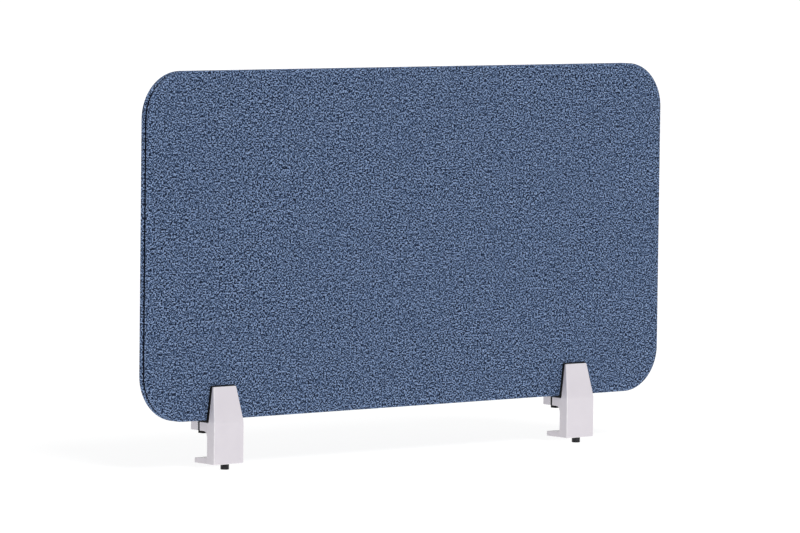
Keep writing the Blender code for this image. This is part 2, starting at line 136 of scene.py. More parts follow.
CROSS_Z = 8.0 * MM        # height of the rear screw and the guide pins
CROSS_BORE_FRONT = -8.0 * MM
PIN_X = 13.5 * MM
BRIDGE_SCREW_X = 12.5 * MM
BRIDGE_SCREW_Y = -16.0 * MM
BRIDGE_SCREW_SEAT = 7.1 * MM
REAR_SCREW_SEAT = 15.5 * MM
BRIDGE_BOTTOM = 2.8 * MM
FILLET = 5.5 * MM         # curve from the bridge's underside down to the column
FILLET_TOE = 1.1 * MM
FILLET_STEPS = 14
FOOT_THICKNESS = 2.5 * MM

# Screws: shank diameter, length, head diameter, head height, socket width, socket depth, pitch
LOWER_SCREW = (6.0 * MM, 45.0 * MM, 10.0 * MM, 6.0 * MM, 5.0 * MM, 3.5 * MM, 1.0 * MM)
REAR_SCREW = (5.0 * MM, 20.0 * MM, 8.5 * MM, 5.0 * MM, 4.0 * MM, 2.5 * MM, 0.8 * MM)
BRIDGE_SCREW = (4.0 * MM, 16.0 * MM, 7.0 * MM, 4.0 * MM, 3.0 * MM, 2.0 * MM, 0.7 * MM)
LENGTH, THREAD_PITCH = 1, 6    # their places in those lists
ROUND = 36                # points round a screw: a multiple of 12
INSERT_RINGS_PER_TURN = 10

# Radii of bores
M6_BORE = 3.2 * MM
M5_BORE = 2.6 * MM
M4_BORE = 2.1 * MM        # for the guide pins too
M5_HEAD_BORE = 4.45 * MM
M4_HEAD_BORE = 3.7 * MM


# ---- node trees

def node(tree, kind, inputs=None, **settings):
    """New node with its settings, and its inputs set to values or linked to sockets."""
    made = tree.nodes.new(kind)
    for key, value in settings.items():
        setattr(made, key, value)
    for key, value in (inputs or {}).items():
        socket = made.inputs[key]
        if isinstance(value, bpy.types.NodeSocket):
            tree.links.new(value, socket)
        else:
            socket.default_value = value
    return made


def maths(tree, operation, *values):
    """Result of a Math node on numbers and sockets."""
    return node(tree, "ShaderNodeMath", dict(enumerate(values)), operation=operation).outputs[0]


def times(tree, value, factor):
    return maths(tree, "MULTIPLY", value, factor)


def plus(tree, value, other):
    return maths(tree, "ADD", value, other)


def times_plus(tree, value, factor, added):
    return maths(tree, "MULTIPLY_ADD", value, factor, added)


def blend(tree, value, other):
    """Six parts of one value and four of another."""
    return plus(tree, times(tree, value, 0.6), times(tree, other, 0.4))


def mixed(tree, share, colour, other):
    """Colour with a share, from 0 to 1, of a constant other colour."""
    return node(tree, "ShaderNodeMix", {0: share, 6: colour, 7: (*other, 1.0)},
                data_type="RGBA").outputs[2]


def dimmed(tree, colour, factor):
    """Colour times a factor, which may be above 1."""
    return node(tree, "ShaderNodeVectorMath", {0: colour, "Scale": factor},
                operation="SCALE").outputs[0]


def pair(tree, first, second):
    """Vector of two values."""
    return node(tree, "ShaderNodeCombineXYZ", {0: first, 1: second}).outputs[0]


def ramp(tree, share, stops):
    """Colour by a share, from stops of (share, colour)."""
    made = node(tree, "ShaderNodeValToRGB", {"Fac": share})
    elements = made.color_ramp.elements
    while len(elements) < len(stops):
        elements.new(0.5)
    for element, (position, colour) in zip(elements, stops):
        element.position = position
        element.color = (*colour, 1.0)
    return made.outputs[0]


def spread(tree, value, low, high, new_low=0.0, new_high=1.0):
    """Value stretched from one range to another, and kept in it."""
    made = node(tree, "ShaderNodeMapRange",
                {"Value": value, "From Min": low, "From Max": high, "To Min": new_low,
                 "To Max": new_high})
    return made.outputs[0]


def noise(tree, vector, scale, detail=2.0, roughness=0.5, dimensions="3D"):
    """Noise whose scale is in features per metre of the vector."""
    made = node(tree, "ShaderNodeTexNoise",
                {"Scale": scale, "Detail": detail, "Roughness": roughness, "Vector": vector},
                noise_dimensions=dimensions)
    return made.outputs[0]


def material(name, **constants):
    """New material, its node tree, its shader and the object's own coordinates in metres."""
    made = bpy.data.materials.new(name)
    made.use_nodes = True
    tree = made.node_tree
    shader = tree.nodes["Principled BSDF"]
    for key, value in constants.items():
        shader.inputs[key.replace("_", " ")].default_value = value
    coordinates = tree.nodes.new("ShaderNodeTexCoord").outputs["Object"]
    return made, tree, shader, coordinates


def link(tree, shader, **sockets):
    """Link sockets to the shader's inputs; an underscore in a name stands for a space."""
    for key, value in sockets.items():
        tree.links.new(value, shader.inputs[key.replace("_", " ")])


def bump(tree, height, distance, strength=1.0):
    """Normal of a relief whose height of 1 is a distance in metres."""
    return node(tree, "ShaderNodeBump",
                {"Strength": strength, "Distance": distance, "Height": height}).outputs[0]


# ---- materials

def yarn_places(tree, flat):
    """Places across and up the cloth, counted in yarns, which drift and wander a little."""
    drift = noise(tree, flat, 55.0, dimensions="2D")
    flat_x, flat_z, _ = node(tree, "ShaderNodeSeparateXYZ", {0: flat}).outputs
    across = times_plus(tree, flat_x, 1.0 / WARP_PITCH, drift)
    upward = times_plus(tree, flat_z, 1.0 / WEFT_PITCH, drift)
    for scale, along, over in ((620.0, 1.3, 0.85), (2300.0, 0.7, 0.4)):
        wander = node(tree, "ShaderNodeTexNoise", {"Scale": scale, "Detail": 1.5, "Vector": flat},
                      noise_dimensions="2D")
        wander = node(tree, "ShaderNodeSeparateColor", {0: wander.outputs["Color"]})
        across = times_plus(tree, wander.outputs[0], along, across)
        upward = times_plus(tree, wander.outputs[1], over, upward)
    return across, upward


def yarn_noise(tree, across, along, up, rise, detail=1.0, roughness=0.5):
    """Noise with so many features per yarn across the cloth, and so many up it."""
    place = pair(tree, times(tree, across, along), times(tree, up, rise))
    return noise(tree, place, 1.0, detail, roughness, dimensions="2D")


def yarn_random(tree, column, row):
    """Value from 0 to 1 that is unrelated from one yarn crossing to the next."""
    return node(tree, "ShaderNodeTexWhiteNoise", {"Vector": pair(tree, column, row)},
                noise_dimensions="2D").outputs[0]


def melange(tree, across, upward, column, row, fibres):
    """Colour of the weft: light and dark dashes, tufts, slubs and fibres."""
    # two weft yarns run side by side: where one is light the other is dark
    twin = times_plus(tree, maths(tree, "PINGPONG", row, 1.0), 2.0, -1.0)
    strand = maths(tree, "FLOOR", times(tree, row, 0.5))
    # whole yarns are several features of the noise apart, which makes them unrelated
    dashes = yarn_noise(tree, across, 0.24, strand, 5.37, detail=2.0, roughness=0.6)
    dashes = times_plus(tree, yarn_random(tree, column, strand), 0.62,
                        spread(tree, dashes, 0.28, 0.72, -0.52, -0.10))
    dashes = times(tree, twin, dashes)
    tufts = spread(tree, yarn_noise(tree, across, 0.9, row, 7.31), 0.28, 0.72)
    # short slubs, lighter or darker than the yarn about them
    slubs = yarn_noise(tree, across, 0.48, upward, 1.25, detail=0.0)
    shade = times_plus(tree, slubs, 1.45, -0.315)
    shade = plus(tree, plus(tree, dashes, shade), times(tree, tufts, 0.16))
    shade = plus(tree, shade, times_plus(tree, fibres, 0.8, -0.4))
    return ramp(tree, shade, ((0.30, (0.0003, 0.0013, 0.008)), (0.44, (0.025, 0.051, 0.113)),
                              (0.58, (0.057, 0.097, 0.192)), (0.80, (0.232, 0.319, 0.502))))


def weave_relief(tree, across, upward, column, row):
    """Height of the round yarns: the weft lies above the warp at most crossings."""
    weft_round, warp_round = (
        maths(tree, "SINE", times(tree, maths(tree, "FRACT", place), math.pi))
        for place in (upward, across))
    weft_rise = times(tree, weft_round, times_plus(tree, warp_round, 0.35, 0.65))
    warp_rise = times(tree, warp_round, times_plus(tree, weft_round, 0.35, 0.45))
    chequer = maths(tree, "PINGPONG", plus(tree, column, row), 1.0)
    chance = times(tree, yarn_random(tree, column, row), 0.9)
    weft_above = maths(tree, "LESS_THAN", plus(tree, chequer, chance), 1.5)
    return node(tree, "ShaderNodeMix", {0: weft_above, 2: warp_rise, 3: weft_rise}).outputs[0]


def cloth_material():
    """Melange weave: light and dark dashes and slubs along the weft, on fine yarns.

    The covers' "weave" attribute holds each point's place on the flat cloth as its x and y, and
    1 on the rim and 0 on the face as its z; the z brightens the cloth on the rim as a painted
    highlight.
    """
    made, tree, shader, _ = material("blue_melange_cloth", Roughness=0.92, Sheen_Weight=0.12,
                                     Sheen_Roughness=0.45, Specular_IOR_Level=0.12,
                                     Sheen_Tint=(0.62, 0.74, 1.0, 1.0))
    flat = node(tree, "ShaderNodeAttribute", attribute_name="weave").outputs["Vector"]
    painted_rim_highlight = node(tree, "ShaderNodeSeparateXYZ", {0: flat}).outputs[2]
    across, upward = yarn_places(tree, flat)
    column = maths(tree, "FLOOR", across)
    row = maths(tree, "FLOOR", upward)
    fibres = yarn_noise(tree, across, 1.2, upward, 7.0, detail=4.0, roughness=0.7)
    colour = melange(tree, across, upward, column, row, fibres)
    # painted highlight: the cloth on the rim is made 1.38 times as bright as on the face,
    # standing in for light on the panel's edges
    colour = dimmed(tree, colour, times_plus(tree, painted_rim_highlight, 0.38, 1.0))
    broad = spread(tree, noise(tree, flat, 9.0, dimensions="2D"), 0.3, 0.7)
    colour = mixed(tree, times(tree, broad, 0.10), colour, (0.06, 0.095, 0.18))
    relief = plus(tree, weave_relief(tree, across, upward, column, row),
                  times(tree, fibres, 0.9))
    # painted shade and highlight: the cloth is darkened in the hollows between the yarns and
    # lightened on their tops
    colour = dimmed(tree, colour, spread(tree, relief, 0.3, 1.0, 0.55, 1.12))
    link(tree, shader, Base_Color=colour, Normal=bump(tree, relief, 0.22 * MM, 0.8))
    return made


def seam_material():
    """Near-black textile band with fine cross ribs; its darkness is partly the band's own colour
    and partly painted shade of the groove between the covers.
    """
    made, tree, shader, place = material("navy_seam_band", Roughness=0.9,
                                         Specular_IOR_Level=0.05)
    grain = noise(tree, place, 1400.0, detail=3.0)
    # painted shade: the near-black colour partly stands in for the shade in the groove
    colour = ramp(tree, grain, ((0.3, (0.0012, 0.002, 0.005)), (0.7, (0.005, 0.008, 0.018))))
    link(tree, shader, Base_Color=colour, Normal=bump(tree, grain, 0.15 * MM))
    return made


def paint_material():
    """Satin powder coat with orange peel and faint clouding; its rounded edges are paler in
    patches, partly as wear and partly as painted highlight.
    """
    made, tree, shader, place = material("white_powder_coat", Coat_Weight=0.5,
                                         Coat_Roughness=0.16, Specular_IOR_Level=0.5)
    peel = noise(tree, place, 900.0, detail=2.0, roughness=0.6)
    grain = noise(tree, place, 4200.0, detail=1.0)
    clouds = noise(tree, place, 38.0, detail=3.0)
    colour = ramp(tree, clouds, ((0.3, (0.645, 0.607, 0.653)), (0.7, (0.676, 0.638, 0.682))))
    specks = spread(tree, noise(tree, place, 2300.0, detail=0.0), 0.78, 0.86)
    colour = mixed(tree, times(tree, specks, 0.25), colour, (0.45, 0.44, 0.45))
    # edges: the coat is made paler and smoother there, more in some places than in others; the
    # paleness is partly wear and partly painted highlight along the bevels
    edge = node(tree, "ShaderNodeAttribute", attribute_name="edge").outputs["Fac"]
    patchy_wear_and_highlight = spread(tree, noise(tree, place, 160.0, detail=3.0), 0.3, 0.7, 0.35, 1.0)
    edge_wear_and_highlight = times(tree, edge, patchy_wear_and_highlight)
    colour = mixed(tree, times(tree, edge_wear_and_highlight, 0.8), colour, (0.88, 0.86, 0.88))
    rough = spread(tree, blend(tree, clouds, grain), 0.3, 0.7, 0.34, 0.48)
    rough = times_plus(tree, edge_wear_and_highlight, -0.12, rough)
    height = plus(tree, peel, times(tree, grain, 0.25))
    link(tree, shader, Base_Color=colour, Roughness=rough,
         Normal=bump(tree, height, 0.06 * MM, 0.8))
    return made


def rubber_material():
    """Matt black rubber with a faint bloom."""
    made, tree, shader, place = material("black_rubber", Specular_IOR_Level=0.22)
    grain = noise(tree, place, 2600.0, detail=3.0)
    bloom = noise(tree, place, 120.0, detail=3.0)
    colour = ramp(tree, bloom, ((0.35, (0.003, 0.003, 0.0034)), (0.75, (0.010, 0.010, 0.011))))
    rough = spread(tree, bloom, 0.3, 0.7, 0.55, 0.78)
    link(tree, shader, Base_Color=colour, Roughness=rough, Normal=bump(tree, grain, 0.06 * MM))
    return made


def metal_material(name, dark, light, rough_low, rough_high, metallic=1.0):
    """Bare or blackened metal with fine turning marks and handling smudges."""
    made, tree, shader, place = material(name, Metallic=metallic)
    stretched = node(tree, "ShaderNodeMapping", {"Vector": place, "Scale": (1.0, 1.0, 9.0)})
    marks = noise(tree, stretched.outputs[0], 1100.0, detail=2.0)
    smudge = noise(tree, place, 260.0, detail=3.0)
    colour = ramp(tree, smudge, ((0.3, dark), (0.7, light)))
    rough = spread(tree, blend(tree, smudge, marks), 0.3, 0.7, rough_low, rough_high)
    link(tree, shader, Base_Color=colour, Roughness=rough, Normal=bump(tree, marks, 0.012 * MM))
    return made


def board_material():
    """Raw particle board: pale chips in several shades."""
    made, tree, shader, place = material("core_particle_board", Specular_IOR_Level=0.2)
    chips = node(tree, "ShaderNodeTexVoronoi", {"Vector": place, "Scale": 420.0}).outputs["Color"]
    chips = node(tree, "ShaderNodeSeparateColor", {0: chips}).outputs[0]
    dust = noise(tree, place, 1900.0, detail=3.0)
    shade = blend(tree, chips, dust)
    colour = ramp(tree, shade, ((0.15, (0.24, 0.15, 0.075)), (0.5, (0.45, 0.31, 0.18)),
                                (0.85, (0.62, 0.48, 0.31))))
    rough = spread(tree, dust, 0.3, 0.7, 0.75, 0.92)
    link(tree, shader, Base_Color=colour, Roughness=rough, Normal=bump(tree, shade, 0.2 * MM))
    return made


def foam_material():
    """Open-cell foam."""
    made, tree, shader, place = material("grey_foam", Roughness=0.95, Specular_IOR_Level=0.1,
                                         Sheen_Weight=0.15)
    cells = node(tree, "ShaderNodeTexVoronoi", {"Vector": place, "Scale": 1300.0}).outputs[0]
    colour = ramp(tree, cells, ((0.05, (0.42, 0.42, 0.43)), (0.6, (0.20, 0.20, 0.21))))
    link(tree, shader, Base_Color=colour, Normal=bump(tree, cells, 0.4 * MM))
    return made


# ---- shapes

def box(low, high):
    """Block between two corners."""
    shape = bmesh.new()
    bmesh.ops.create_cube(shape, size=1.0)
    size = Vector(high) - Vector(low)
    centre = (Vector(high) + Vector(low)) / 2
    bmesh.ops.transform(shape, matrix=Matrix.Translation(centre) @ Matrix.Diagonal((*size, 1.0)),
                        verts=shape.verts)
    return shape


def prism(outline_yz, half):
    """Side outline, as (y, z) points, drawn out along X to both sides of the middle."""
    shape = bmesh.new()
    corners = [shape.verts.new((-half, y, z)) for y, z in outline_yz]
    side = shape.faces.new(corners)
    drawn = bmesh.ops.extrude_face_region(shape, geom=[side])["geom"]
    moved = [item for item in drawn if isinstance(item, bmesh.types.BMVert)]
    bmesh.ops.translate(shape, vec=(2 * half, 0.0, 0.0), verts=moved)
    bmesh.ops.recalc_face_normals(shape, faces=shape.faces)
    return shape


def rod(radius, start, end):
    """Cylinder between two points."""
    start = Vector(start)
    end = Vector(end)
    along = end - start
    shape = bmesh.new()
    bmesh.ops.create_cone(shape, cap_ends=True, segments=ROUND, radius1=radius, radius2=radius,
                          depth=along.length)
    turn = Vector((0.0, 0.0, 1.0)).rotation_difference(along).to_matrix().to_4x4()
    bmesh.ops.transform(shape, matrix=Matrix.Translation((start + end) / 2) @ turn,
                        verts=shape.verts)
    return shape


def narrow_above(shape, z, top_z, top_share):
    """Split the shape at height z and narrow it along X in a straight line up to top_z."""
    everything = list(shape.verts) + list(shape.edges) + list(shape.faces)
    on_plane = 0.01 * MM
    bmesh.ops.bisect_plane(shape, geom=everything, dist=on_plane, plane_co=(0.0, 0.0, z),
                           plane_no=(0.0, 0.0, 1.0))
    for vert in shape.verts:
        if vert.co.z > z + on_plane:
            rise = (vert.co.z - z) / (top_z - z)
            vert.co.x *= 1.0 + rise * (top_share - 1.0)
    return shape


def linked(name, data):
    """New object in the scene."""
    thing = bpy.data.objects.new(name, data)
    bpy.context.scene.collection.objects.link(thing)
    return thing


def object_of(name, shape):
    """New object of a bmesh, which is freed."""
    mesh = bpy.data.meshes.new(name)
    shape.to_mesh(mesh)
    shape.free()
    return linked(name, mesh)


def round_edges(thing, width, steps, angle):
    """Bevel the edges, with the new faces in the second material slot."""
    while len(thing.data.materials) < 2:
        thing.data.materials.append(None)
    bevel = thing.modifiers.new("edges", "BEVEL")
    bevel.material = 1
    bevel.width = width
    bevel.segments = steps
    bevel.limit_method = "ANGLE"
    bevel.angle_limit = math.radians(angle)


def finished(name, shape, place, joins=(), cuts=(), edge=EDGE, steps=4, cut_edge=CUT_EDGE,
             angle=EDGE_BEND):
    """Round the shape's edges, join and cut others, break the cut edges, and move it to place."""
    base = object_of(name, shape)
    round_edges(base, edge, steps, angle)
    helpers = []
    for operation, parts in (("UNION", joins), ("DIFFERENCE", cuts)):
        for number, part in enumerate(parts):
            tool = object_of(f"{name}_{operation.lower()}_{number}", part)
            helpers.append(tool)
            if operation == "UNION":
                round_edges(tool, edge, steps, EDGE_BEND)
            step = base.modifiers.new(operation.lower(), "BOOLEAN")
            step.operation = operation
            step.solver = "EXACT"
            step.object = tool
    if cuts and cut_edge:
        round_edges(base, cut_edge, 2, CUT_BEND)
    graph = bpy.context.evaluated_depsgraph_get()
    mesh = bpy.data.meshes.new_from_object(base.evaluated_get(graph))
    mesh.name = name
    for thing in helpers + [base]:
        spare = thing.data
        bpy.data.objects.remove(thing)
        bpy.data.meshes.remove(spare)
    mark_edges(mesh)
    mesh.transform(Matrix.Translation(place))
    return smoothed(linked(name, mesh))


def mark_edges(mesh):
    """Attribute that is 1 along the middle of well rounded edges, and 0 on the flats; the paint
    makes these edges paler, partly as wear and partly as painted highlight.
    """
    shape = bmesh.new()
    shape.from_mesh(mesh)
    edge_wear_and_highlight = shape.loops.layers.float.new("edge")
    inside = {vert for vert in shape.verts
              if all(face.material_index == 1 for face in vert.link_faces)}
    for face in shape.faces:
        longest = max(face.edges, key=lambda edge: edge.calc_length())
        bend = min(1.0, longest.calc_face_angle(0.0) / EDGE_MARK_BEND)
        for corner in face.loops:
            corner[edge_wear_and_highlight] = bend if corner.vert in inside and bend > 0.5 else 0.0
    for face in shape.faces:
        face.material_index = 0
    shape.to_mesh(mesh)
    shape.free()
    mesh.materials.clear()


def smoothed(thing, angle=32.0, weighted=True):
    """Smooth shading, but for edges that bend by more than the angle in degrees."""
    thing.data.shade_smooth()
    thing.data.set_sharp_from_angle(angle=math.radians(angle))
    if weighted:
        even = thing.modifiers.new("even_normals", "WEIGHTED_NORMAL")
        even.keep_sharp = True
        even.weight = 100
    return thing


def join_loops(shape, first, second):
    """Faces between two closed loops of as many points."""
    for index in range(len(first)):
        after = (index + 1) % len(first)
        shape.faces.new((first[index], first[after], second[after], second[index]))


def skin(name, rings, closed=False):
    """Closed skin through rings of points. Both ends are filled, or the last meets the first."""
    shape = bmesh.new()
    loops = [[shape.verts.new(point) for point in points] for points in rings]
    pairs = list(zip(loops, loops[1:]))
    if closed:
        pairs.append((loops[-1], loops[0]))
    for first, second in pairs:
        join_loops(shape, first, second)
    if not closed:
        for loop in (loops[0], loops[-1]):
            middle = shape.verts.new(sum((v.co for v in loop), Vector()) / len(loop))
            for index in range(len(loop)):
                shape.faces.new((loop[index], loop[(index + 1) % len(loop)], middle))
    bmesh.ops.recalc_face_normals(shape, faces=shape.faces)
    return object_of(name, shape)


def turned(name, profile, matrix, closed=False):
    """Round piece with a profile of (radius, z) about Z, moved to its place."""
    thing = skin(name, [ring(radius, z) for radius, z in profile], closed)
    thing.data.transform(matrix)
    return smoothed(thing, 28.0, weighted=False)


def ring(radius, z):
    """Points round the Z axis; radius is a number or a function of the angle."""
    points = []
    for step in range(ROUND):
        angle = 2.0 * math.pi * step / ROUND
        reach = radius(angle) if callable(radius) else radius
        points.append(Vector((reach * math.cos(angle), reach * math.sin(angle), z)))
    return points


def thread(radius, depth, pitch, z):
    """Radius at height z of a right-hand thread with flat crests, as a function of the angle."""
    def at(angle):
        turn = (z / pitch - angle / (2.0 * math.pi)) % 1.0
        rise = abs(2.0 * turn - 1.0)
        return radius - depth * min(1.0, max(0.0, 1.25 * rise - 0.1))
    return at


def hexagon(across):
    """Radius of a hexagon by its width across flats, as a function of the angle."""
    def at(angle):
        return across / 2 / math.cos((angle % (math.pi / 3)) - math.pi / 6)
    return at


def cap_screw(name, size, matrix, rings_per_turn):
    """Hex socket cap screw: knurled head below the seat at the origin, thread above it."""
    shank_d, length, head_d, head_h, socket, depth, pitch = size
    head_r = head_d / 2
    chamfer = 0.09 * head_r
    corner = socket / math.sqrt(3.0)
    floor = depth - head_h

    def knurl(angle):
        tooth = abs(math.sin(angle * ROUND / 4))
        return head_r * (1.0 - 0.022 * (1.0 - tooth))

    profile = [(0.35 * socket, floor + 0.12 * socket), (hexagon(socket), floor),
               (hexagon(socket), chamfer * 0.8 - head_h), (corner * 1.04, -head_h),
               (head_r - chamfer, -head_h), (head_r - 0.3 * chamfer, -head_h + 0.35 * chamfer),
               (head_r, -head_h + chamfer)]
    knurl_low = -head_h + 1.3 * chamfer
    knurl_high = -0.22 * head_h
    for step in range(5):
        profile.append((knurl, knurl_low + (knurl_high - knurl_low) * step / 4))
    shank_r = shank_d / 2
    profile += [(head_r, knurl_high + 0.5 * chamfer), (head_r, -0.5 * chamfer),
                (head_r - 0.5 * chamfer, 0.0), (shank_r * 1.08, 0.0),
                (shank_r * 0.99, 0.05 * shank_d)]
    start = 1.5 * pitch
    end = length - 0.8 * pitch
    count = int((end - start) / pitch * rings_per_turn)
    groove = 0.6 * pitch
    for step in range(count + 1):
        z = start + (end - start) * step / count
        profile.append((thread(shank_r, groove * min(1.0, step / rings_per_turn), pitch, z), z))
    profile.append((shank_r - 0.8 * pitch, length))
    return turned(name, profile, matrix)


def guide_pin(name, diameter, length, matrix):
    """Pin with rounded chamfers, from the origin along Z."""
    radius = diameter / 2
    chamfer = 0.4 * MM
    profile = [(radius - chamfer, 0.0), (radius - 0.3 * chamfer, 0.3 * chamfer),
               (radius, chamfer), (radius, length / 2), (radius, length - chamfer),
               (radius - 0.3 * chamfer, length - 0.3 * chamfer), (radius - chamfer, length)]
    return turned(name, profile, matrix)


def insert_sleeve(name, node_name, pitch):
    """Brass sleeve: knurled bands outside, thread inside."""
    low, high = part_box(node_name)
    outer = (high.x - low.x) / 2
    length = high.z - low.z
    bore = 3.1 * MM
    groove = 0.42 * MM
    mouth = bore + 0.45 * MM
    waist = outer - 0.35 * MM
    chamfer = 0.3 * MM
    end = 0.4 * MM

    def knurl(angle):
        return outer * (1.0 - 0.03 * abs(math.sin(angle * ROUND / 4)))

    def inner_thread(z):
        ridge = thread(bore + groove, groove, pitch, z)
        return lambda angle: 2 * bore + groove - ridge(angle)

    profile = [(outer - chamfer, 0.0), (outer, chamfer), (knurl, end),
               (knurl, 0.42 * length), (waist, 0.45 * length), (waist, 0.55 * length),
               (knurl, 0.58 * length), (knurl, length - end), (outer - chamfer, length),
               (mouth, length)]
    steps = int(length / pitch * INSERT_RINGS_PER_TURN)
    for step in range(steps, -1, -1):
        z = end + (length - 2 * end) * step / steps
        profile.append((inner_thread(z), z))
    profile.append((mouth, 0.0))
    middle = (low + high) / 2
    return turned(name, profile, Matrix.Translation((middle.x, middle.y, low.z)), closed=True)


# ---- panel

def face_box(node_name):
    """Half width, half height and centre of a panel layer, with its near and far |y|."""
    low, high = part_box(node_name)
    centre = Vector(((low.x + high.x) / 2, 0.0, (low.z + high.z) / 2))
    near, far = sorted((abs(low.y), abs(high.y)))
    return (high.x - low.x) / 2, (high.z - low.z) / 2, centre, near, far


def panel_outline(half_x, half_z, inset):
    """Points round the panel about its centre, drawn in by inset, and the straight sides' steps.

    Each point is (x, z, outward x, outward z).
    """
    points = []
    straight = [int(2 * (half - CORNER) / FACE_STEP) for half in (half_x, half_z)]
    reach = CORNER - inset
    centres = [(side_x * (half_x - CORNER), side_z * (half_z - CORNER))
               for side_x, side_z in ((1, 1), (-1, 1), (-1, -1), (1, -1))]
    for quarter, (x, z) in enumerate(centres):
        for step in range(CORNER_STEPS + 1):
            angle = math.radians(90.0 * (quarter + step / CORNER_STEPS))
            out_x, out_z = math.cos(angle), math.sin(angle)
            points.append((x + reach * out_x, z + reach * out_z, out_x, out_z))
        start_x, start_z = points[-1][:2]
        next_x, next_z = centres[(quarter + 1) % 4]
        run_x, run_z = next_x + reach * out_x - start_x, next_z + reach * out_z - start_z
        steps = straight[quarter % 2]
        for step in range(1, steps):
            share = step / steps
            points.append((start_x + run_x * share, start_z + run_z * share, out_x, out_z))
    return points, straight


def crown_at(x, z, half_x, half_z):
    """How far the padded face stands proud of its edge."""
    near = min(half_x - abs(x), half_z - abs(z))
    rise = min(1.0, max(0.0, near / CROWN_RISE))
    return CROWN * rise * rise * (3.0 - 2.0 * rise)


def four_sides(loop, straight):
    """Sides of a loop, from one corner's middle to the next: low, top, left and right.

    Low and top run towards +X, left and right upwards.
    """
    start = CORNER_STEPS // 2
    sides = []
    for steps in (*straight, *straight):
        stop = start + steps + CORNER_STEPS
        sides.append([loop[index % len(loop)] for index in range(start, stop + 1)])
        start = stop
    top, left, low, right = sides
    return low, top[::-1], left[::-1], right


def patch(loop, straight):
    """Grid of (x, z) over the inside of a loop, blended from its four sides."""
    low, top, left, right = four_sides(loop, straight)
    across, up = len(low) - 1, len(left) - 1
    rows = []
    for j in range(up + 1):
        v = j / up
        line = []
        for i in range(across + 1):
            u = i / across
            point = []
            for axis in (0, 1):
                sides = (1 - v) * low[i][axis] + v * top[i][axis] \
                    + (1 - u) * left[j][axis] + u * right[j][axis]
                corners = (1 - u) * (1 - v) * low[0][axis] + u * (1 - v) * low[-1][axis] \
                    + (1 - u) * v * top[0][axis] + u * v * top[-1][axis]
                point.append(sides - corners)
            line.append(point)
        rows.append(line)
    return rows


def cover(name, side, node_name):
    """Cloth over one padded face, round its shoulder and rim, and into the groove."""
    half_x, half_z, centre, _, face_y = face_box(node_name)
    shape = bmesh.new()
    weave = shape.verts.layers.float_vector.new("weave")

    def profile(offset):
        """(inset, y, length of cloth from the face's edge, 1 on the rim and 0 on the face).

        It runs from the groove to the face.
        """
        points = [(TUCK, HALF_GROOVE + offset)]
        lip = max(LIP - offset, 0.15 * MM)
        lip_x, lip_y = offset + lip, HALF_GROOVE + offset + lip
        for step in range(LIP_STEPS + 1):
            angle = math.radians(90.0 * step / LIP_STEPS)
            points.append((lip_x - lip * math.sin(angle), lip_y - lip * math.cos(angle)))
        points.append((offset, (lip_y + face_y - SHOULDER) / 2))
        bend = SHOULDER - offset
        for step in range(SHOULDER_STEPS + 1):
            angle = math.radians(90.0 * step / SHOULDER_STEPS)
            points.append((SHOULDER - bend * math.cos(angle),
                           face_y - SHOULDER + bend * math.sin(angle)))
        lengths = [0.0]
        for first, second in zip(points[::-1], points[::-1][1:]):
            lengths.append(lengths[-1] + math.dist(first, second))
        # the last value is the share of the cloth's painted rim highlight: 1 round the rim,
        # fading to 0 over the shoulder
        fading = [1.0 - step / SHOULDER_STEPS for step in range(SHOULDER_STEPS + 1)]
        turns = [1.0] * (len(points) - len(fading)) + fading
        return [(*point, length, turn)
                for point, length, turn in zip(points, lengths[::-1], turns)]

    def layer(offset):
        """Rings of one side of the cloth, and its face's grid."""
        loops = []
        for inset, y, length, turn in profile(offset):
            outline, straight = panel_outline(half_x, half_z, inset)
            loop = []
            for x, z, out_x, out_z in outline:
                vert = shape.verts.new((centre.x + x, side * y, centre.z + z))
                reach = inset - SHOULDER + length
                vert[weave] = (centre.x + x + out_x * reach, centre.z + z + out_z * reach, turn)
                loop.append(vert)
            loops.append(loop)
        for first, second in zip(loops, loops[1:]):
            join_loops(shape, first, second)
        outline, straight = panel_outline(half_x, half_z, SHOULDER)
        grid = patch(outline, straight)
        low, top, left, right = four_sides(loops[-1], straight)
        rows = [low]
        for j in range(1, len(grid) - 1):
            rows.append([left[j]])
            for x, z in grid[j][1:-1]:
                y = face_y - offset + crown_at(x, z, half_x, half_z)
                vert = shape.verts.new((centre.x + x, side * y, centre.z + z))
                vert[weave] = (centre.x + x, centre.z + z, 0.0)
                rows[-1].append(vert)
            rows[-1].append(right[j])
        rows.append(top)
        for row, above in zip(rows, rows[1:]):
            for i in range(len(row) - 1):
                shape.faces.new((row[i], row[i + 1], above[i + 1], above[i]))
        return loops[0]

    join_loops(shape, layer(0.0), layer(CLOTH))
    bmesh.ops.recalc_face_normals(shape, faces=shape.faces)
    return smoothed(object_of(name, shape), 50.0, weighted=False), (2 * half_x, 2 * half_z)


def padding(name, side, node_name):
    """Foam under the cover, with eased edges."""
    half_x, half_z, centre, near, far = face_box(node_name)
    bend = FOAM_SHOULDER
    rings = []
    stations = [(FOAM_EASE, near), (0.0, near + FOAM_EASE), (0.0, far - bend)]
    for step in range(1, 6):
        angle = math.radians(90.0 * step / 5)
        stations.append((bend - bend * math.cos(angle), far - bend + bend * math.sin(angle)))
    for inset, y in stations:
        outline, _ = panel_outline(half_x, half_z, inset)
        rings.append([Vector((centre.x + x, side * y, centre.z + z)) for x, z, _, _ in outline])
    return smoothed(skin(name, rings), 50.0)


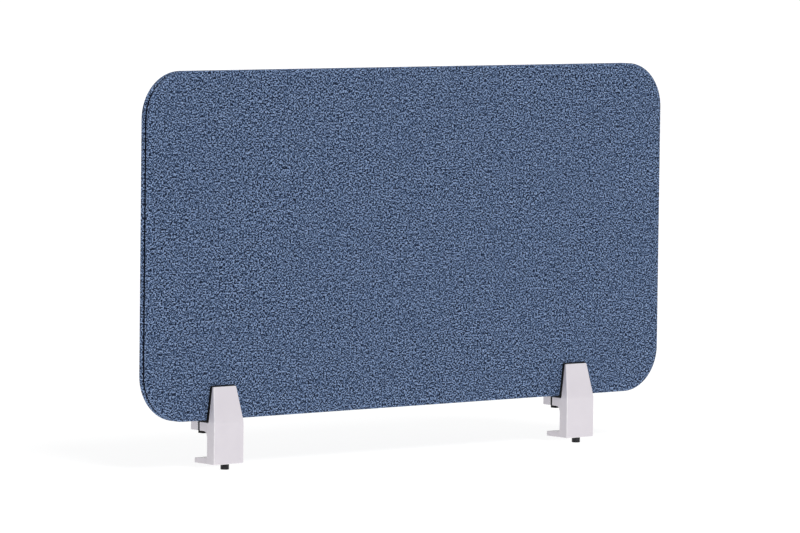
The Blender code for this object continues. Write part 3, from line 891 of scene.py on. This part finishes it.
def seam_band(name, node_name):
    """Band in the groove between the covers, with a rounded and ribbed outer edge."""
    half_x, half_z, centre, _, _ = face_box(node_name)
    stations = [(BAND_DEPTH, -HALF_BAND), (BAND_ROUNDING, -HALF_BAND)]
    for step in range(1, 6):
        angle = math.radians(180.0 * step / 6 - 90.0)
        stations.append((BAND_ROUNDING - BAND_ROUNDING * math.cos(angle),
                         HALF_BAND * math.sin(angle)))
    stations += [(BAND_ROUNDING, HALF_BAND), (BAND_DEPTH, HALF_BAND)]
    rings = []
    for inset, y in stations:
        outline, _ = panel_outline(half_x, half_z, inset - BAND_RISE)
        ribbed = []
        for number, (x, z, out_x, out_z) in enumerate(outline):
            rib = BAND_RIB * (number % 2) if inset < BAND_ROUNDING else 0.0
            ribbed.append(Vector((centre.x + x - out_x * rib, y, centre.z + z - out_z * rib)))
        rings.append(ribbed)
    return smoothed(skin(name, rings, closed=True), 40.0, weighted=False)


# ---- clamps

def upright(radius, x, y, low_z, high_z):
    """Rod along Z."""
    return rod(radius, (x, y, low_z), (x, y, high_z))


def crosswise(radius, x, first_y, last_y):
    """Rod along Y at the height of the rear screw and the guide pins."""
    return rod(radius, (x, first_y, CROSS_Z), (x, last_y, CROSS_Z))


def half_width(node_name):
    """Half of a CAD node's width along X."""
    low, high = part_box(node_name)
    return (high.x - low.x) / 2


def lower_screw_y(prefix):
    """Where the lower screw's axis stands."""
    low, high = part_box(f"{prefix}_lower_screw")
    return (low.y + high.y) / 2


def clamp_body(name, prefix, place):
    """Front jaw, narrower at its top, and the hollow column below it."""
    low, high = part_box(f"{prefix}_clamp_body")
    half = (high.x - low.x) / 2
    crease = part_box(f"{prefix}_bridge")[1].z
    jaw_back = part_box(f"{prefix}_front_pad")[0].y - GAP
    top_front = jaw_back - JAW_TOP_THICKNESS
    outline = [(low.y, low.z), (low.y, crease), (top_front, high.z), (jaw_back, high.z),
               (jaw_back, crease), (high.y, crease), (high.y, low.z)]
    shape = narrow_above(prism(outline, half), crease, high.z, JAW_TOP_HALF_WIDTH / half)
    channel_top = crease + GAP
    screw_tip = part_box(f"{prefix}_lower_screw")[1].z
    cuts = [box((-half + WALL, low.y + FRONT_WALL, low.z - TOOL_PAST),
                (half - WALL, high.y + TOOL_PAST, channel_top)),
            upright(M6_BORE, 0.0, lower_screw_y(prefix), channel_top - TOOL_PAST,
                    screw_tip + LOWER_TRAVEL + GAP)]
    for side in (-1, 1):
        cuts.append(upright(M4_BORE, side * BRIDGE_SCREW_X, BRIDGE_SCREW_Y,
                            channel_top - TOOL_PAST,
                            BRIDGE_SCREW_SEAT + BRIDGE_SCREW[LENGTH] + GAP))
    return finished(name, shape, place, cuts=cuts)


def jaw_pad(name, node_name, place, half, top_half):
    """Rubber sheet between a jaw and the panel, narrowed like the jaw."""
    low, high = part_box(node_name)
    outline = [(low.y, low.z), (high.y, low.z), (high.y, high.z), (low.y, high.z)]
    shape = narrow_above(prism(outline, half), low.z + GAP, high.z, top_half / half)
    return finished(name, shape, place, edge=0.55 * MM, steps=3)


def front_pad(name, prefix, place):
    """Pad that is seen as an outline round the front jaw."""
    return jaw_pad(name, f"{prefix}_front_pad", place,
                   half_width(f"{prefix}_clamp_body") + PAD_PROUD, JAW_TOP_HALF_WIDTH + PAD_PROUD)


def bridge(name, prefix, place):
    """Block under the panel, with a tenon in the column and a curve down to it."""
    low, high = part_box(f"{prefix}_bridge")
    half = (high.x - low.x) / 2
    column_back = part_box(f"{prefix}_clamp_body")[1].y
    inner_half = half_width(f"{prefix}_clamp_body") - WALL - GAP
    screw_y = lower_screw_y(prefix)
    insert_r = half_width(f"{prefix}_threaded_insert")
    insert_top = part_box(f"{prefix}_threaded_insert")[1].z
    tenon = box((-inner_half, low.y, BRIDGE_BOTTOM + TOOL_GAP),
                (inner_half, column_back + 2 * MM, high.z - TOOL_GAP))
    front = column_back + GAP
    outline = [(high.y, BRIDGE_BOTTOM), (high.y, high.z), (front, high.z), (front, low.z)]
    for step in range(FILLET_STEPS + 1):
        angle = math.radians(180.0 - 90.0 * step / FILLET_STEPS)
        outline.append((front + FILLET_TOE + FILLET * (1.0 + math.cos(angle)),
                        BRIDGE_BOTTOM - FILLET * (1.0 - math.sin(angle))))
    block = prism(outline, half)
    below = BRIDGE_BOTTOM - TOOL_PAST
    above = high.z + TOOL_PAST
    behind = high.y + TOOL_PAST
    cuts = [upright(insert_r + TOOL_GAP, 0.0, screw_y, below, insert_top + GAP),
            upright(M6_BORE, 0.0, screw_y, insert_top - MM, above),
            crosswise(M5_BORE, 0.0, behind, CROSS_BORE_FRONT)]
    for side in (-1, 1):
        x = side * BRIDGE_SCREW_X
        cuts.append(upright(M4_BORE, x, BRIDGE_SCREW_Y, below, above))
        cuts.append(upright(M4_HEAD_BORE, x, BRIDGE_SCREW_Y, below, BRIDGE_SCREW_SEAT + GAP))
        cuts.append(crosswise(M4_BORE, side * PIN_X, behind, CROSS_BORE_FRONT))
    return finished(name, block, place, joins=[tenon], cuts=cuts, edge=0.5 * MM, angle=10.0)


def rest_pad(name, prefix, place):
    """Rubber strip that the panel's lower edge stands on."""
    low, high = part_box(f"{prefix}_rest_pad")
    half = (high.x - low.x) / 2
    shape = box((-half, low.y, low.z), (half, high.y, high.z))
    return finished(name, shape, place, edge=0.45 * MM, steps=3)


def desk_foot(name, prefix, place):
    """L-shaped rubber under and behind the bridge, which stands on the desk."""
    low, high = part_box(f"{prefix}_desk_foot")
    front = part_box(f"{prefix}_bridge")[1].y + GAP
    outline = [(low.y, 0.0), (high.y, 0.0), (high.y, high.z), (front, high.z),
               (front, FOOT_THICKNESS), (low.y, FOOT_THICKNESS)]
    shape = prism(outline, (high.x - low.x) / 2)
    cuts = [crosswise(radius, x, front - MM, high.y + MM)
            for radius, x in ((M5_BORE, 0.0), (M4_BORE, -PIN_X), (M4_BORE, PIN_X))]
    return finished(name, shape, place, cuts=cuts, edge=0.45 * MM, steps=3, cut_edge=0.0)


def rear_jaw(name, prefix, place):
    """Low block with a plate up the back of the panel, narrower at its top."""
    low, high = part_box(f"{prefix}_rear_jaw")
    half = (high.x - low.x) / 2
    block = box((-half, low.y, low.z), (half, high.y, REAR_BLOCK_TOP))
    plate_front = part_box(f"{prefix}_rear_pad")[1].y + GAP
    outline = [(plate_front, CROSS_Z), (REAR_PLATE_BACK, CROSS_Z),
               (REAR_PLATE_BACK, REAR_PLATE_CREASE),
               (plate_front + JAW_TOP_THICKNESS, high.z), (plate_front, high.z)]
    plate = narrow_above(prism(outline, REAR_PLATE_HALF_WIDTH), REAR_PLATE_CREASE, high.z,
                         REAR_PLATE_TOP_HALF_WIDTH / REAR_PLATE_HALF_WIDTH)
    pin_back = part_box(f"{prefix}_guide_pin_1")[1].y
    cuts = [crosswise(M5_BORE, 0.0, low.y - MM, high.y - MM),
            crosswise(M5_HEAD_BORE, 0.0, REAR_SCREW_SEAT - GAP, high.y + MM)]
    for side in (-1, 1):
        cuts.append(crosswise(M4_BORE, side * PIN_X, low.y - MM, pin_back + GAP))
    return finished(name, block, place, joins=[plate], cuts=cuts, edge=0.8 * MM)


def rear_pad(name, prefix, place):
    """Pad that is hidden between the rear jaw and the panel."""
    return jaw_pad(name, f"{prefix}_rear_pad", place, REAR_PLATE_HALF_WIDTH,
                   REAR_PLATE_TOP_HALF_WIDTH)


def lower_jaw(name, prefix, place):
    """Jaw under the desk, joined by a neck to a carriage that slides in the column."""
    low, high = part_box(f"{prefix}_lower_jaw")
    column_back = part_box(f"{prefix}_clamp_body")[1].y
    half = half_width(f"{prefix}_clamp_body") - WALL - GAP
    carriage = box((-half, low.y, low.z), (half, column_back - GAP, high.z))
    neck = box((-half, column_back - 4 * MM, low.z + TOOL_GAP),
               (half, column_back + 4 * MM, JAW_ROOT_TOP - 2 * MM))
    root = column_back + GAP
    outline = [(root, low.z), (high.y, low.z), (high.y, JAW_TIP_TOP), (root, JAW_ROOT_TOP)]
    jaw = prism(outline, (high.x - low.x) / 2)
    hole = upright(M6_BORE, 0.0, lower_screw_y(prefix), low.z - MM, high.z + MM)
    return finished(name, carriage, place, joins=[neck, jaw], cuts=[hole], edge=0.8 * MM)


def seat_matrix(x, y, z, towards_front=False):
    """Matrix that puts a seat at a point, with the shank up, or level towards the front."""
    turn = Matrix.Rotation(math.radians(90.0), 4, "X") if towards_front else Matrix.Identity(4)
    return Matrix.Translation((x, y, z)) @ turn


def show(thing, finishes, body, slot, node_name):
    """Give a piece the material of its slot, attach it to its CAD body, and hide the CAD node it
    stands for.
    """
    thing.data.materials.clear()
    thing.data.materials.append(finishes[slot])
    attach(thing, body)
    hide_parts(node_name)


def build_clamp(prefix, finishes):
    """The fifteen pieces of one clamp."""
    low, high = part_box(f"{prefix}_clamp_body")
    x = (low.x + high.x) / 2
    place = Vector((x, 0.0, 0.0))
    clamp, rear, lower = f"{prefix}_clamp", f"{prefix}_rear_jaw_set", f"{prefix}_lower_jaw_set"
    shaped = ((clamp_body, "clamp_body", "front_casting", "white_paint", clamp),
              (front_pad, "front_pad", "front_jaw_rubber", "black_rubber", clamp),
              (bridge, "bridge", "bridge_casting", "white_paint", clamp),
              (rest_pad, "rest_pad", "rest_rubber", "black_rubber", clamp),
              (desk_foot, "desk_foot", "foot_rubber", "black_rubber", clamp),
              (rear_jaw, "rear_jaw", "rear_casting", "white_paint", rear),
              (rear_pad, "rear_pad", "rear_jaw_rubber", "black_rubber", rear),
              (lower_jaw, "lower_jaw", "lower_casting", "white_paint", lower))
    for build, cad, title, slot, body in shaped:
        thing = build(f"{prefix}_{title}", prefix, place)
        show(thing, finishes, body, slot, f"{prefix}_{cad}")

    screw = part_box(f"{prefix}_lower_screw")
    thing = cap_screw(f"{prefix}_jaw_cap_screw", LOWER_SCREW,
                      seat_matrix(x, lower_screw_y(prefix), screw[1].z - LOWER_SCREW[LENGTH]),
                      rings_per_turn=8)
    show(thing, finishes, f"{prefix}_lower_screw_set", "black_steel", f"{prefix}_lower_screw")
    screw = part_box(f"{prefix}_rear_screw")
    thing = cap_screw(f"{prefix}_rear_cap_screw", REAR_SCREW,
                      seat_matrix(x, screw[0].y + REAR_SCREW[LENGTH], CROSS_Z, True),
                      rings_per_turn=7)
    show(thing, finishes, f"{prefix}_rear_screw_set", "black_steel", f"{prefix}_rear_screw")
    thing = insert_sleeve(f"{prefix}_brass_sleeve", f"{prefix}_threaded_insert",
                          LOWER_SCREW[THREAD_PITCH])
    show(thing, finishes, clamp, "brass", f"{prefix}_threaded_insert")
    for number in (1, 2):
        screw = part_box(f"{prefix}_bridge_screw_{number}")
        middle = (screw[0] + screw[1]) / 2
        thing = cap_screw(f"{prefix}_bridge_cap_screw_{number}", BRIDGE_SCREW,
                          seat_matrix(middle.x, middle.y, screw[1].z - BRIDGE_SCREW[LENGTH]),
                          rings_per_turn=6)
        show(thing, finishes, clamp, "steel", f"{prefix}_bridge_screw_{number}")
        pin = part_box(f"{prefix}_guide_pin_{number}")
        middle = (pin[0] + pin[1]) / 2
        thing = guide_pin(f"{prefix}_ground_pin_{number}", pin[1].x - pin[0].x,
                          pin[1].y - pin[0].y, seat_matrix(middle.x, pin[1].y, middle.z, True))
        show(thing, finishes, rear, "steel", f"{prefix}_guide_pin_{number}")


def build_panel(finishes):
    """Covers, foam layers, seam band, and the CAD's own core board."""
    for title, side in (("front", -1), ("rear", 1)):
        cloth, flat = cover(f"{title}_cloth_cover", side, f"panel_{title}_cover")
        show(cloth, finishes, "panel", "blue_cloth", f"panel_{title}_cover")
        foam = padding(f"{title}_foam_layer", side, f"panel_{title}_foam")
        show(foam, finishes, "panel", "grey_foam", f"panel_{title}_foam")
    band = seam_band("seam_band", "panel_seam_strip")
    show(band, finishes, "panel", "navy_seam", "panel_seam_strip")
    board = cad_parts["panel_core_board"]
    board.data.materials.clear()
    board.data.materials.append(finishes["core_board"])


# ---- stage, light and camera

def build_stage(low, centre):
    """Sky, floor and sun."""
    scene = bpy.context.scene
    scene.view_settings.view_transform = "Standard"
    world = bpy.data.worlds.new("studio")
    scene.world = world
    world.use_nodes = True
    sky = world.node_tree
    direction = node(sky, "ShaderNodeTexCoord").outputs["Generated"]
    height = node(sky, "ShaderNodeSeparateXYZ", {0: direction}).outputs[2]
    background = sky.nodes["Background"].inputs
    sky.links.new(spread(sky, height, *HORIZON, 1.0, OVERHEAD), background["Strength"])
    background["Color"].default_value = (1.0, 1.0, 1.0, 1.0)

    ground = bmesh.new()
    bmesh.ops.create_grid(ground, x_segments=1, y_segments=1, size=FLOOR_HALF_SIZE)
    floor = object_of("floor", ground)
    floor.location = (centre.x, 0.0, low.z - FLOOR_DROP)
    pale = material("pale_floor", Base_Color=(0.3, 0.3, 0.3, 1.0), Roughness=0.9,
                    Specular_IOR_Level=0.1, Emission_Color=(1.0, 1.0, 1.0, 1.0),
                    Emission_Strength=FLOOR_GLOW)[0]
    floor.data.materials.append(pale)
    floor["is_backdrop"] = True

    lamp = bpy.data.lights.new("key", "SUN")
    lamp.energy = SUN_ENERGY
    lamp.angle = SUN_SOFTNESS
    key = linked("key", lamp)
    away = Vector((math.sin(SUN_AZIMUTH) * math.cos(SUN_HEIGHT),
                   -math.cos(SUN_AZIMUTH) * math.cos(SUN_HEIGHT), math.sin(SUN_HEIGHT)))
    key.location = centre + away * SUN_DISTANCE
    key.rotation_mode = "QUATERNION"
    key.rotation_quaternion = away.to_track_quat("Z", "Y")


def build_camera(centre):
    """Camera that sees the panel from the photo's side."""
    turn = (Matrix.Rotation(ROLL, 3, "Z") @ Matrix.Rotation(PITCH, 3, "X")
            @ Matrix(((1, 0, 0), (0, 0, -1), (0, 1, 0))) @ Matrix.Rotation(YAW, 3, "Z"))
    data = bpy.data.cameras.new("camera")
    data.lens = LENS
    data.sensor_width = SENSOR
    data.clip_start = 0.1
    data.clip_end = 150.0
    camera = linked("camera", data)
    place = centre - turn.transposed() @ Vector((AIM_RIGHT, AIM_DOWN, DISTANCE))
    axes = Matrix((turn[0], -turn[1], -turn[2])).transposed()
    camera.matrix_world = Matrix.Translation(place) @ axes.to_4x4()
    bpy.context.scene.camera = camera


def main():
    finishes = {
        "blue_cloth": cloth_material(),
        "navy_seam": seam_material(),
        "core_board": board_material(),
        "grey_foam": foam_material(),
        "white_paint": paint_material(),
        "black_rubber": rubber_material(),
        "brass": metal_material("turned_brass", (0.62, 0.42, 0.15), (0.78, 0.57, 0.25), 0.22,
                                0.4),
        "steel": metal_material("zinc_plated_steel", (0.48, 0.49, 0.51), (0.64, 0.65, 0.67),
                                0.24, 0.42),
        "black_steel": metal_material("black_oxide_steel", (0.018, 0.018, 0.02),
                                      (0.04, 0.04, 0.043), 0.28, 0.5, metallic=0.85),
    }
    low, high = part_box("panel_core_board")
    centre = (low + high) / 2
    build_panel(finishes)
    for prefix in CLAMPS:
        build_clamp(prefix, finishes)
    build_stage(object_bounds()[0], centre)
    build_camera(centre)


main()
bpy.context.view_layer.update()
